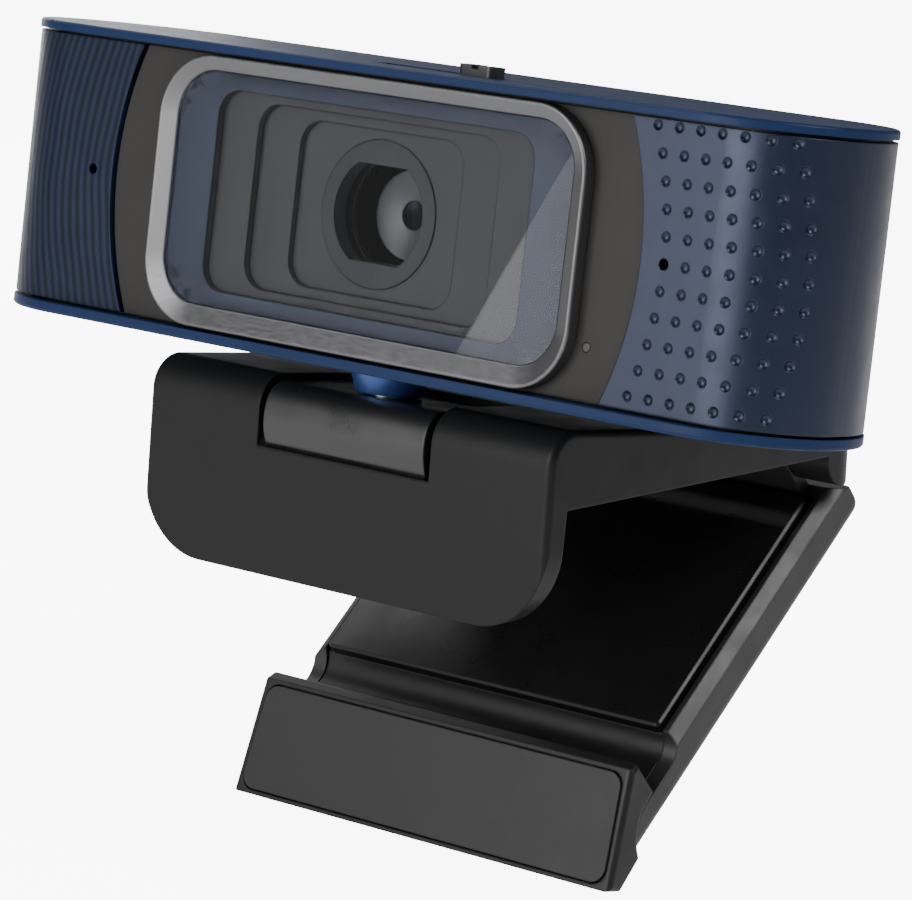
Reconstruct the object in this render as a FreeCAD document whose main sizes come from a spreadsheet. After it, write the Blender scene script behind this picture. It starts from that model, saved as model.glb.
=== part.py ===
"""Clip-on webcam: a swivelling, tilting camera head on a folding monitor clip.

Frame: X to the camera's left-to-right as seen from the front, Y to the back, Z up.  The origin
is the middle of the pad that rests on the monitor's top edge; the rest pose has the head leaning
slightly back and the rear leg half open.
"""
import FreeCAD, Part
import math
import os

import Sketcher

Vector = FreeCAD.Vector
X_AXIS = Vector(1, 0, 0)
Y_AXIS = Vector(0, 1, 0)
Z_AXIS = Vector(0, 0, 1)

# ----------------------------------------------------------------------------- driving sizes (mm)
SIZES = {
    # camera head, in its own frame: origin at the middle of the front glass
    "head_width": 102.0,
    "head_depth": 23.9,
    "head_above": 14.3,
    "head_below": 15.1,
    "cap_reach": 1.3,
    "front_round": 0.469,
    "back_round": 0.523,
    "top_cap_thickness": 0.9,
    "bottom_cap_thickness": 1.05,
    "cap_groove": 0.3,
    "wing_inset": 0.1,
    "wing_sharper": 0.7,
    "wing_wall": 1.5,
    "chassis_wall": 1.2,
    "shell_gap": 0.1,
    "cover_start_share": 0.7657,
    "panel_recess": 0.4,
    "panel_wall": 1.1,
    "panel_reach": 33.4,
    "panel_bulge": 33.0,
    # front window and its frame
    "glass_width": 50.3,
    "glass_height": 23.1,
    "glass_corner": 4.6,
    "glass_front": 0.35,
    "glass_thickness": 0.55,
    "mask_thickness": 0.1,
    "bezel_width": 54.2,
    "bezel_corner": 6.5,
    "bezel_front": 1.1,
    "bezel_fit": 0.05,
    "bezel_rim": 0.3,
    "bezel_plug": 0.8,
    # stepped surround behind the glass
    "step_1_width": 40.2,
    "step_1_height": 19.9,
    "step_2_width": 30.8,
    "step_2_height": 18.2,
    "step_3_width": 20.8,
    "step_3_height": 16.2,
    "step_corner": 2.6,
    "step_depth": 0.75,
    "surround_back": 3.4,
    "hood_radius": 7.2,
    "hood_opening": 5.6,
    "hood_flat": 4.7,
    "hood_front": 2.3,
    "hood_back": 4.0,
    # lens
    "lens_face_share": 0.3013,
    "lens_barrel_back_share": 0.5439,
    "retainer_radius": 4.4,
    "retainer_thickness_share": 0.0377,
    "pupil_radius": 1.45,
    "lens_glass_radius": 3.0,
    "holder_side": 15.0,
    "sensor_side": 6.0,
    "sensor_thickness": 0.8,
    "board_front_share": 0.6778,
    "board_thickness": 1.2,
    "board_side": 9.0,
    "board_height": 22.0,
    "lens_thickness_share": 0.0586,
    "lens_grip": 3.0,
    "board_screw_spot": 5.9,
    # sound and light
    "microphone_x": 36.4,
    "microphone_hole": 0.55,
    "microphone_radius": 2.4,
    "microphone_length": 2.0,
    "boot_radius": 3.2,
    "boot_length": 3.2,
    "light_x": 28.3,
    "light_z": -8.8,
    "light_radius": 0.45,
    "light_length": 6.0,
    # dimples of the right-hand wing
    "dimple_radius": 0.62,
    "dimple_sink": 0.3,
    "dimple_pitch": 2.5,
    "dimple_column_pitch": 2.45,
    # lens shutter
    "knob_x": 7.4,
    "knob_y": 6.4,
    "knob_length": 4.2,
    "knob_width": 2.4,
    "knob_rise": 1.05,
    "shutter_travel": 10.5,
    "shutter_plane": 4.4,
    "shutter_thickness": 0.5,
    "shutter_width": 10.6,
    "shutter_height": 12.6,
    "shutter_gap": 0.2,
    "shutter_arm": 2.6,
    "knob_notch": 0.8,
    "rail_thickness": 0.6,
    "rail_width": 27.0,
    "rail_height": 17.0,
    # neck and tilt
    "rest_lean": 6.04,
    "tilt_y": -16.5,
    "tilt_z": 3.75,
    "post_above_tilt": 21.02,
    "post_behind_glass": 6.65,
    "block_radius": 6.3,
    "block_width": 20.6,
    "block_top": 3.4,
    "block_front_foot": 3.6,
    "block_skirt_back": 4.4,
    "block_skirt_top": 2.3,
    "block_top_round": 2.6,
    "block_rear": 4.4,
    "block_rear_foot": 1.3,
    "block_gap": 0.45,
    "block_side_gap": 0.8,
    "tilt_pin_radius": 1.25,
    "tilt_pin_grip": 2.9,
    "running_fit": 0.05,
    "collar_top_radius": 4.2,
    "collar_radius": 3.3,
    "collar_gap": 0.2,
    "post_radius": 1.9,
    "post_head_radius": 3.1,
    "post_nut_thickness": 1.6,
    "washer_thickness": 0.3,
    "collar_flange": 1.0,
    "collar_overlap": 0.75,
    "post_root": 1.5,
    "tilt_washer_radius": 3.0,
    # clip
    "pad_proud": 0.5,
    "clip_width": 51.8,
    "seat_front": -20.0,
    "lip_tip_thickness": 2.3,
    "lip_drop": 11.4,
    "lip_lean": 1.1,
    "lip_corner": 8.0,
    "lip_front": -22.6,
    "roll_radius": 3.4,
    "roll_top": 8.05,
    "edge_round": 0.7,
    "hollow_front": -8.6,
    "hollow_back": 17.5,
    "hollow_side": 3.9,
    "hollow_roof": 1.5,
    "cover_thickness": 1.2,
    "cover_gap": 0.15,
    "seat_pad_length": 27.0,
    "pad_side": 4.9,
    "lip_pad_height": 6.5,
    "lip_pad_thickness": 0.5,
    "lip_pad_low": 1.2,
    "boss_radius": 2.2,
    "boss_roof": 0.7,
    "rear_corner": 4.0,
    "cover_screw_length": 2.4,
    # leg, in its own frame: origin on the hinge axis, folded leg along -Y
    "hinge_y": 24.6,
    "hinge_z": 0.15,
    "open_angle": 41.0,
    "knuckle_radius": 3.0,
    "knuckle_gap": 0.4,
    "hinge_pin_radius": 1.25,
    "lug_width": 5.0,
    "lug_side_gap": 0.3,
    "leg_width": 48.0,
    "leg_wall": 1.7,
    "leg_floor": 1.6,
    "leg_top": 3.75,
    "leg_bottom": 8.93,
    "leg_nose": 45.7,
    "leg_rear": 1.0,
    "leg_chamfer": 1.1,
    "leg_fit": 0.1,
    "pad_gap": 0.4,
    "pad_thickness": 1.2,
    "pad_face": 3.13,
    "pad_front": 34.15,
    "pad_rear": 3.6,
    "pad_edge": 0.25,
    "bush_radius": 2.0,
    "bush_length": 5.0,
    "leg_screw_length": 1.6,
    "channel_floor": 5.8,
    "foot_ridge": 41.06,
    "foot_ridge_top": 0.85,
    "foot_tip": 51.4,
    "foot_tip_below": 7.17,
    "foot_heel": 50.0,
    "foot_flare": 0.7,
    "foot_overhang": 0.2,
    "foot_ridge_width": 1.1,
    "rear_bevel": 2.6,
    "cove": 2.9,
    "cove_radius": 3.0,
    "nose_length": 3.7,
    "nose_radius": 4.5,
    "tray_rear": 3.0,
    "rear_round": 1.6,
    "leg_round": 1.5,
    "foot_face_inset": 0.7,
    "foot_face_border": 0.6,
    "foot_face_round": 1.6,
    "foot_round": 0.6,
    "foot_face_thickness": 1.0,
    "foot_face_proud": 0.15,
    "nut_position": 20.0,
    "nut_radius": 4.6,
    "nut_length": 3.3,
    "thread_radius": 2.55,
    "screw_head_radius": 1.6,
    "screw_head_height": 0.9,
    "screw_radius": 0.8,
    "screw_length": 2.6,
    "cable_gland_radius": 3.0,
    "gland_length": 4.0,
    "vent_height": 8.0,
    "cable_radius": 1.9,
}

doc = FreeCAD.newDocument("webcam")


# ------------------------------------------------------------------ sizes that carry their formula
class Size:
    """A length or angle together with the spreadsheet formula that gives it."""

    def __init__(self, value, text):
        self.value = float(value)
        self.text = text

    def _join(self, other, sign, flip=False):
        other = as_size(other)
        first, second = (other, self) if flip else (self, other)
        value = {"+": first.value + second.value, "-": first.value - second.value,
                 "*": first.value * second.value}.get(sign)
        if sign == "/":
            value = first.value / second.value
        return Size(value, "(%s %s %s)" % (first.text, sign, second.text))

    def __add__(self, other):
        return self._join(other, "+")

    def __radd__(self, other):
        return self._join(other, "+", True)

    def __sub__(self, other):
        return self._join(other, "-")

    def __rsub__(self, other):
        return self._join(other, "-", True)

    def __mul__(self, other):
        return self._join(other, "*")

    def __rmul__(self, other):
        return self._join(other, "*", True)

    def __truediv__(self, other):
        return self._join(other, "/")

    def __neg__(self):
        return Size(-self.value, "(0 - %s)" % self.text)


def as_size(value):
    if isinstance(value, Size):
        return value
    if value < 0:
        return Size(value, "(0 - %.6g)" % -value)
    return Size(value, "%.6g" % value)


class Sizes:
    """The spreadsheet, read by alias."""


def make_sheet():
    sheet = doc.addObject("Spreadsheet::Sheet", "Sizes")
    for row, (alias, value) in enumerate(SIZES.items(), 1):
        sheet.set("A%d" % row, alias)
        sheet.set("B%d" % row, str(value))
        sheet.setAlias("B%d" % row, alias)
    doc.recompute()
    for alias in SIZES:
        setattr(Sizes, alias, Size(sheet.get(alias), "Sizes.%s" % alias))
    add_tied_sizes()


def add_tied_sizes():
    """Sizes that follow from others: depths inside the head, widths across clip and leg."""
    s = Sizes
    for alias in SIZES:
        if alias.endswith("_share"):
            setattr(s, alias[:-6], s.head_depth * getattr(s, alias))
    s.front_corner = s.head_depth * s.front_round
    s.back_corner = s.head_depth * s.back_round
    s.board_width = s.head_width - s.board_side * 2
    s.notch_width = s.block_width + s.block_side_gap * 2
    s.tilt_pin_length = s.notch_width + s.tilt_pin_grip * 2
    s.hollow_width = s.clip_width - s.hollow_side * 2
    s.seat_pad_width = s.clip_width - s.pad_side * 2
    s.lip_pad_width = s.clip_width - s.pad_side * 2
    s.pad_width = s.leg_width - s.leg_wall * 2 - s.pad_gap * 2
    s.foot_width = s.leg_width + s.foot_overhang * 2
    s.foot_face_width = s.leg_width - s.foot_face_inset * 2


def bind(thing, name, size):
    """Set a property and tie it to its formula."""
    size = as_size(size)
    setattr(thing, name, size.value)
    if "Sizes." in size.text:
        thing.setExpression(name, size.text)


def cosine(angle):
    return Size(math.cos(math.radians(angle.value)), "cos(%s * 1deg)" % angle.text)


def sine(angle):
    return Size(math.sin(math.radians(angle.value)), "sin(%s * 1deg)" % angle.text)


spots = {}


def place(thing, x=0, y=0, z=0, angle=0, axis=X_AXIS):
    """Turn a finished piece about an axis through its own origin, then move it."""
    spot = [as_size(x), as_size(y), as_size(z)]
    angle = as_size(angle)
    spots[thing.Name] = spot + [angle]
    base = Vector(*[size.value for size in spot])
    thing.Placement = FreeCAD.Placement(base, FreeCAD.Rotation(axis, angle.value))
    for letter, size in zip("xyz", spot):
        if "Sizes." in size.text:
            thing.setExpression("Placement.Base.%s" % letter, size.text)
    if "Sizes." in angle.text:
        thing.setExpression("Placement.Rotation.Angle", angle.text)


# -------------------------------------------------------------------------------- sketching tools
def new_body(label):
    body = doc.addObject("PartDesign::Body", label)
    body.Label = label
    return body


def new_sketch(body, plane, offset=0):
    """A sketch on one of the body's own planes, offset along that plane's normal."""
    base = [item for item in body.Origin.OriginFeatures if item.Role == plane + "_Plane"][0]
    sketch = body.newObject("Sketcher::SketchObject", body.Label + "_sketch")
    sketch.AttachmentSupport = [(base, "")]
    sketch.MapMode = "FlatFace"
    offset = as_size(offset)
    sketch.AttachmentOffset = FreeCAD.Placement(Vector(0, 0, offset.value), FreeCAD.Rotation())
    if "Sizes." in offset.text:
        sketch.setExpression("AttachmentOffset.Base.z", offset.text)
    return sketch


def limit(sketch, kind, size, *where):
    """One dimension of a sketch, tied to its formula."""
    size = as_size(size)
    index = sketch.addConstraint(Sketcher.Constraint(kind, *where, size.value))
    if "Sizes." in size.text:
        sketch.setExpression("Constraints[%d]" % index, size.text)


def pin_point(sketch, line, end, point):
    limit(sketch, "DistanceX", point[0], -1, 1, line, end)
    limit(sketch, "DistanceY", point[1], -1, 1, line, end)


def draw_path(sketch, points):
    """A closed outline.  A point is (x, y), or (x, y, radius) when an arc leads to it: a positive
    radius turns anticlockwise, a negative one clockwise."""
    flat = [[as_size(v) for v in point] for point in points]
    count = len(flat)
    ends = []
    for i in range(count):
        start, stop = flat[i], flat[(i + 1) % count]
        a = Vector(start[0].value, start[1].value, 0)
        b = Vector(stop[0].value, stop[1].value, 0)
        if len(stop) == 2:
            ends.append((sketch.addGeometry(Part.LineSegment(a, b)), 1, 2))
            continue
        radius = stop[2]
        turn = 1 if radius.value > 0 else -1
        size = abs(radius.value)
        half = (b - a).Length / 2
        side = Vector(-(b - a).y, (b - a).x, 0).normalize()
        centre = (a + b) * 0.5 + side * (turn * math.sqrt(max(size * size - half * half, 0)))
        first, last = (a, b) if turn > 0 else (b, a)
        start_angle = math.atan2(first.y - centre.y, first.x - centre.x)
        stop_angle = math.atan2(last.y - centre.y, last.x - centre.x)
        arc = Part.ArcOfCircle(Part.Circle(centre, Z_AXIS, size), start_angle, stop_angle)
        index = sketch.addGeometry(arc)
        ends.append((index, 1, 2) if turn > 0 else (index, 2, 1))
        limit(sketch, "Radius", radius if turn > 0 else -radius, index)
    for i in range(count):
        line, tail = ends[i][0], ends[i][2]
        following = ends[(i + 1) % count]
        sketch.addConstraint(Sketcher.Constraint("Coincident", line, tail, following[0], following[1]))
        pin_point(sketch, ends[i][0], ends[i][1], flat[i])


def draw_box(sketch, left, low, right, high):
    draw_path(sketch, [(left, low), (right, low), (right, high), (left, high)])


def draw_circle(sketch, x, y, radius):
    size = as_size(radius)
    spot = Vector(as_size(x).value, as_size(y).value, 0)
    index = sketch.addGeometry(Part.Circle(spot, Z_AXIS, size.value))
    limit(sketch, "Radius", size, index)
    pin_point(sketch, index, 3, (x, y))


def draw_rounded(sketch, left, low, right, high, low_round, high_round):
    """A rectangle with round corners: one radius for the two low ones, one for the high ones."""
    left, low, right, high = [as_size(v) for v in (left, low, right, high)]
    a, b = as_size(low_round), as_size(high_round)
    draw_path(sketch, [(left + a, low, a), (right - a, low), (right, low + a, a),
                       (right, high - b), (right - b, high, b), (left + b, high),
                       (left, high - b, b), (left, low + a)])


def last_shape(body):
    doc.recompute()
    return body.Shape.copy()


def pad(body, sketch, length, both=False, flip=False):
    feature = body.newObject("PartDesign::Pad", body.Label + "_pad")
    feature.Profile = sketch
    bind(feature, "Length", length)
    if both:
        feature.SideType = "Symmetric"
    feature.Reversed = flip
    doc.recompute()
    return feature


def cut(body, sketch, length=None, both=False, flip=False):
    """Take the sketch's outline out of the body and make sure that something went."""
    before = last_shape(body).Volume
    feature = body.newObject("PartDesign::Pocket", body.Label + "_cut")
    feature.Profile = sketch
    if length is None:
        feature.Type = "ThroughAll"
    else:
        bind(feature, "Length", length)
    if both:
        feature.SideType = "Symmetric"
    feature.Reversed = flip
    doc.recompute()
    if not body.Shape.Volume < before - 1e-6:
        raise RuntimeError("a cut in %s removed nothing" % body.Label)
    return feature


def edges_where(shape, test):
    names = []
    for i, edge in enumerate(shape.Edges, 1):
        if test(edge):
            names.append("Edge%d" % i)
    return names


def round_edges(body, radius, test, kind="Fillet"):
    """Fillet or chamfer the edges that pass the test."""
    doc.recompute()
    base = body.Tip
    names = edges_where(base.Shape, test)
    if not names:
        raise RuntimeError("no edge of %s to round" % body.Label)
    feature = body.newObject("PartDesign::" + kind, body.Label + "_" + kind.lower())
    feature.Base = (base, names)
    bind(feature, "Radius" if kind == "Fillet" else "Size", radius)
    doc.recompute()
    return feature


def runs_along(edge, axis):
    """Whether an edge is straight and parallel to a unit axis."""
    if len(edge.Vertexes) != 2:
        return False
    line = edge.Vertexes[1].Point - edge.Vertexes[0].Point
    if line.Length < 1e-6 or abs(edge.Length - line.Length) > 1e-4:
        return False
    return abs(abs(line.normalize().dot(axis)) - 1) < 1e-6


def lies_at(edge, letter, size):
    """Whether a whole edge lies at one height along x, y or z."""
    box = edge.BoundBox
    low, high = {"x": (box.XMin, box.XMax), "y": (box.YMin, box.YMax),
                 "z": (box.ZMin, box.ZMax)}[letter]
    return abs(low - as_size(size).value) < 1e-3 and abs(high - as_size(size).value) < 1e-3


def rod(label, radius, length, centre, axis=X_AXIS, hole=None):
    """A round bar or, with a hole, a tube, centred on a point and lying along an axis."""
    body = new_body(label)
    plane = "YZ" if axis is X_AXIS else "XZ" if axis is Y_AXIS else "XY"
    sketch = new_sketch(body, plane)
    draw_circle(sketch, 0, 0, radius)
    if hole is not None:
        draw_circle(sketch, 0, 0, hole)
    pad(body, sketch, length, both=True)
    place(body, *centre)
    return body


# ---------------------------------------------------------------------------------- the pieces
finished = []


def frame_of(name):
    """The depth, height and turn about X of a group of pieces at rest."""
    s = Sizes
    lean = -s.rest_lean
    nothing = as_size(0)
    if name == "clip":
        return nothing, nothing, nothing
    if name == "leg":
        return s.hinge_y, s.hinge_z, s.open_angle
    if name == "tilt":
        return s.tilt_y, s.tilt_z, lean
    depth = as_size(0) if name == "neck" else -s.post_behind_glass
    y, z = turned(depth, s.post_above_tilt, lean)
    return s.tilt_y + y, s.tilt_z + z, lean


def turned(y, z, angle):
    """A point turned about the X axis."""
    return (as_size(y) * cosine(angle) - as_size(z) * sine(angle),
            as_size(y) * sine(angle) + as_size(z) * cosine(angle))


def keep(piece, label, frame="clip"):
    """Name a finished piece and carry it into the frame that it is modelled in."""
    piece.Label = label
    finished.append(piece)
    if frame == "clip":
        return
    base_y, base_z, angle = frame_of(frame)
    x, y, z, turn = spots.get(piece.Name, [as_size(0)] * 4)
    y, z = turned(y, z, angle)
    place(piece, x, base_y + y, base_z + z, turn + angle)


def root(size):
    return Size(math.sqrt(size.value), "sqrt(%s)" % size.text)


def head_outline(sketch, side_inset, front_inset, back_inset):
    """The head's plan: flat front and back, round ends."""
    s = Sizes
    side = s.head_width / 2 - side_inset
    front = as_size(front_inset) - s.cap_reach
    back = s.head_depth - s.cap_reach - back_inset
    corner = s.front_corner - front_inset
    if as_size(front_inset).value > 0:
        corner = corner - s.wing_sharper
    draw_rounded(sketch, -side, front, side, back, corner, s.back_corner - back_inset)


def wing_top():
    return Sizes.head_above - Sizes.top_cap_thickness - Sizes.cap_groove


def wing_bottom():
    return -(Sizes.head_below - Sizes.bottom_cap_thickness - Sizes.cap_groove)


def head_ring(label, side, front, back, wall, low, high):
    """A band that follows the head's plan, from one height to another."""
    body = new_body(label)
    sketch = new_sketch(body, "XY", low)
    head_outline(sketch, side, front, back)
    pad(body, sketch, high - low)
    inner = new_sketch(body, "XY", low)
    head_outline(inner, side + wall, front + wall, back + wall)
    cut(body, inner, flip=True)
    return body


# ------------------------------------------------------------------------------- head: the shells
def make_top_cap():
    s = Sizes
    body = new_body("top_cap")
    sketch = new_sketch(body, "XY", s.head_above - s.top_cap_thickness)
    head_outline(sketch, 0, 0, 0)
    pad(body, sketch, s.top_cap_thickness)
    top = s.head_above
    round_edges(body, s.top_cap_thickness * 0.35, lambda edge: lies_at(edge, "z", top))
    slot = new_sketch(body, "XY", s.head_above)
    half = s.knob_length / 2 + s.shutter_gap
    side = s.knob_width / 2 + s.shutter_gap
    draw_box(slot, s.knob_x - s.shutter_travel - half, s.knob_y - side,
             s.knob_x + half, s.knob_y + side)
    cut(body, slot)
    keep(body, "top_cap", "head")


def make_bottom_cap():
    s = Sizes
    body = new_body("bottom_cap")
    sketch = new_sketch(body, "XY", -s.head_below)
    head_outline(sketch, 0, 0, 0)
    pad(body, sketch, s.bottom_cap_thickness)
    low = -s.head_below
    round_edges(body, s.bottom_cap_thickness * 0.35, lambda edge: lies_at(edge, "z", low))
    hole = new_sketch(body, "XY", -s.head_below)
    draw_circle(hole, 0, s.post_behind_glass, s.collar_top_radius + s.shell_gap)
    cut(body, hole, flip=True)
    keep(body, "bottom_cap", "head")


def chassis_inset():
    return Sizes.wing_wall + Sizes.shell_gap


def make_chassis():
    """The black frame inside the shells: it closes the grooves and carries the parts."""
    s = Sizes
    low = s.bottom_cap_thickness - s.head_below
    high = s.head_above - s.top_cap_thickness
    side = s.wing_inset + chassis_inset()
    body = head_ring("chassis", side, s.cap_reach + chassis_inset(), side, s.chassis_wall,
                     low, high)
    window = new_sketch(body, "XZ", 0)
    half = s.glass_width / 2 + s.shell_gap
    draw_box(window, -half, -(s.glass_height / 2 + s.shell_gap), half,
             s.glass_height / 2 + s.shell_gap)
    cut(body, window, s.head_depth / 2)
    ports = new_sketch(body, "XZ", 0)
    for side_sign in (-1, 1):
        draw_circle(ports, s.microphone_x * side_sign, 0, s.microphone_hole * 2)
    draw_circle(ports, s.light_x, s.light_z, s.light_radius + s.shell_gap)
    cut(body, ports, s.head_depth / 2)
    outlet = new_sketch(body, "XZ", -s.head_depth / 2)
    draw_circle(outlet, 0, 0, s.cable_gland_radius + s.shell_gap)
    cut(body, outlet)
    collar = new_sketch(body, "XY", low)
    draw_circle(collar, 0, s.post_behind_glass,
                s.collar_top_radius + s.collar_overlap + s.shell_gap)
    cut(body, collar, s.collar_flange + s.shell_gap, flip=True)
    keep(body, "chassis", "head")


def panel_arc_x(height, gap=0):
    """How far out the edge between the centre panel and a wing is at one height."""
    s = Sizes
    height = as_size(height)
    return s.panel_reach - s.panel_bulge + root(s.panel_bulge * s.panel_bulge - height * height) + gap


def make_wing(label, side_sign):
    """One end shell: front, round end and a little of the back, with its microphone port."""
    s = Sizes
    body = head_ring(label + "_shell", s.wing_inset, s.cap_reach, s.wing_inset, s.wing_wall,
                     wing_bottom(), wing_top())
    middle = new_sketch(body, "XZ", s.head_width)
    reach = s.head_above + 1
    edge_x = panel_arc_x(reach, s.cap_groove)
    far = s.head_width
    if side_sign > 0:
        draw_path(middle, [(-far, -reach), (edge_x, -reach), (edge_x, reach, s.panel_bulge),
                           (-far, reach)])
    else:
        draw_path(middle, [(far, reach), (-edge_x, reach), (-edge_x, -reach, s.panel_bulge),
                           (far, -reach)])
    cut(body, middle)
    behind = new_sketch(body, "XY", s.head_width)
    draw_box(behind, -far, s.cover_start, far, s.head_width)
    cut(body, behind)
    port = new_sketch(body, "XZ", 0)
    draw_circle(port, s.microphone_x * side_sign, 0, s.microphone_hole)
    cut(body, port, s.head_depth / 2)
    return body


def make_left_wing():
    keep(make_wing("left_wing", -1), "left_wing", "head")


def wing_point(along, out):
    """A point beside the right wing: so far along its outline from the middle, so far outside."""
    s = Sizes
    radius = s.front_corner.value - s.cap_reach.value - s.wing_sharper.value
    flat = s.head_width.value / 2 - s.wing_inset.value - radius
    if along <= flat:
        return along, -out
    angle = (along - flat) / radius
    return flat + (radius + out) * math.sin(angle), radius - (radius + out) * math.cos(angle)


def make_right_wing():
    """The same shell with rows of round dimples that follow its curved inner edge."""
    s = Sizes
    shell = make_wing("right_wing", 1)
    lift = s.dimple_radius.value - s.dimple_sink.value
    balls = []
    for row in range(-5, 6):
        height = row * s.dimple_pitch.value
        start = s.panel_reach.value - s.panel_bulge.value
        start += math.sqrt(s.panel_bulge.value ** 2 - height ** 2)
        start += s.microphone_x.value - s.panel_reach.value
        for column in range(7):
            if row == 0 and column == 0:
                continue
            x, y = wing_point(start + column * s.dimple_column_pitch.value, lift)
            balls.append(Part.makeSphere(s.dimple_radius.value, Vector(x, y, height)))
    tool = doc.addObject("Part::Feature", "dimple_tool")
    tool.Shape = Part.makeCompound(balls)
    wing = doc.addObject("Part::Cut", "right_wing")
    wing.Base = shell
    wing.Tool = tool
    keep(wing, "right_wing", "head")


def make_rear_cover():
    s = Sizes
    body = head_ring("rear_cover", s.wing_inset, s.cap_reach, s.wing_inset, s.wing_wall,
                     wing_bottom(), wing_top())
    front = new_sketch(body, "XY", s.head_width)
    draw_box(front, -s.head_width, -s.head_width, s.head_width, s.cover_start + s.cap_groove)
    cut(body, front)
    outlet = new_sketch(body, "XZ", -s.head_depth / 2)
    draw_circle(outlet, 0, 0, s.cable_gland_radius + s.shell_gap)
    cut(body, outlet)
    vents = new_sketch(body, "XZ", -s.head_depth / 2)
    for side_sign in (-1, 1):
        for step in range(4):
            x = (s.head_width / 6 + step * 3) * side_sign
            draw_box(vents, x - 0.6, -s.vent_height / 2, x + 0.6, s.vent_height / 2)
    cut(body, vents)
    keep(body, "rear_cover", "head")


def make_front_panel():
    s = Sizes
    body = new_body("front_panel")
    sketch = new_sketch(body, "XZ", -s.panel_recess)
    low, high = wing_bottom(), wing_top()
    low_x, high_x = panel_arc_x(low), panel_arc_x(high)
    draw_path(sketch, [(-low_x, low, s.panel_bulge), (low_x, low), (high_x, high, s.panel_bulge),
                       (-high_x, high)])
    pad(body, sketch, s.panel_wall, flip=True)
    window = new_sketch(body, "XZ", -s.panel_recess)
    bezel_window(window, s.bezel_plug + s.bezel_fit)
    cut(body, window)
    lamp = new_sketch(body, "XZ", -s.panel_recess)
    draw_circle(lamp, s.light_x, s.light_z, s.light_radius + s.bezel_fit)
    cut(body, lamp)
    keep(body, "front_panel", "head")


def bezel_window(sketch, wall):
    """The outline that surrounds the glass at a given distance."""
    s = Sizes
    half_width = s.glass_width / 2 + wall
    half_height = s.glass_height / 2 + wall
    corner = s.glass_corner + wall
    draw_rounded(sketch, -half_width, -half_height, half_width, half_height, corner, corner)


def make_bezel():
    """The raised bright frame: a flange on the panel, a plug in it and a wide inner bevel."""
    s = Sizes
    body = new_body("bezel")
    flange = new_sketch(body, "XZ", s.bezel_front)
    draw_rounded(flange, -s.bezel_width / 2, wing_bottom(), s.bezel_width / 2, wing_top(),
                 s.bezel_corner, s.bezel_corner)
    pad(body, flange, s.bezel_front + s.panel_recess, flip=True)
    plug = new_sketch(body, "XZ", s.bezel_front)
    bezel_window(plug, s.bezel_plug)
    pad(body, plug, s.bezel_front + s.panel_recess + s.panel_wall, flip=True)
    opening = new_sketch(body, "XZ", s.bezel_front)
    bezel_window(opening, s.bezel_fit)
    cut(body, opening)
    rim = s.bezel_rim
    front = new_sketch(body, "XZ", s.bezel_front)
    draw_rounded(front, rim - s.bezel_width / 2, wing_bottom() + rim, s.bezel_width / 2 - rim,
                 wing_top() - rim, s.bezel_corner - rim, s.bezel_corner - rim)
    foot = new_sketch(body, "XZ", s.glass_front)
    bezel_window(foot, s.bezel_fit)
    bevel = body.newObject("PartDesign::SubtractiveLoft", "bezel_bevel")
    bevel.Profile = front
    bevel.Sections = [foot]
    bevel.Ruled = True
    doc.recompute()
    front_y = -s.bezel_front.value
    half = s.bezel_width.value / 2
    round_edges(body, s.bezel_rim * 0.8,
                lambda edge: lies_at(edge, "y", front_y) and is_outer(edge, half, s.bezel_rim.value))
    keep(body, "bezel", "head")


def is_outer(edge, half, rim):
    """Whether an edge belongs to the outer outline of the bezel's front."""
    low, high = wing_bottom().value, wing_top().value
    box = edge.BoundBox
    near_side = max(abs(box.XMin), abs(box.XMax)) > half - rim / 2
    near_end = box.ZMin < low + rim / 2 or box.ZMax > high - rim / 2
    return near_side or near_end


# -------------------------------------------------------------------------- head: window and lens
def front_plate(label, y_front, thickness, draw):
    """A flat plate that faces forward, from a front depth backwards."""
    body = new_body(label)
    sketch = new_sketch(body, "XZ", -as_size(y_front))
    draw(sketch)
    pad(body, sketch, thickness, flip=True)
    return body


def sink(body, y_front, depth, draw):
    """A recess cut backwards from a plane that faces forward."""
    sketch = new_sketch(body, "XZ", -as_size(y_front))
    draw(sketch)
    cut(body, sketch, depth)


def centred(sketch, width, height, corner, x=0):
    half_width, half_height = as_size(width) / 2, as_size(height) / 2
    draw_rounded(sketch, x - half_width, -half_height, x + half_width, half_height, corner, corner)


def make_window():
    s = Sizes
    glass = front_plate("front_glass", -s.glass_front, s.glass_thickness,
                        lambda sketch: bezel_window(sketch, 0))
    keep(glass, "front_glass", "head")
    back = s.glass_thickness - s.glass_front
    mask = front_plate("window_mask", back, s.mask_thickness,
                       lambda sketch: bezel_window(sketch, 0))
    sink(mask, back, None,
         lambda sketch: centred(sketch, s.step_1_width, s.step_1_height, s.step_corner))
    keep(mask, "window_mask", "head")


def make_surround():
    """The stepped funnel behind the glass, one shallow recess inside the next."""
    s = Sizes
    face = s.glass_thickness - s.glass_front + s.mask_thickness
    body = front_plate("lens_surround", face, s.surround_back - face,
                       lambda sketch: bezel_window(sketch, 0))
    sink(body, face, s.step_depth,
         lambda sketch: centred(sketch, s.step_1_width, s.step_1_height, s.step_corner))
    sink(body, face, s.step_depth * 2,
         lambda sketch: centred(sketch, s.step_2_width, s.step_2_height, s.step_corner))
    sink(body, face, s.step_depth * 2.8,
         lambda sketch: centred(sketch, s.step_3_width, s.step_3_height, s.step_corner))
    sink(body, face, None, lambda sketch: draw_circle(sketch, 0, 0, s.hood_radius + s.bezel_fit))
    keep(body, "lens_surround", "head")


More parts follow.
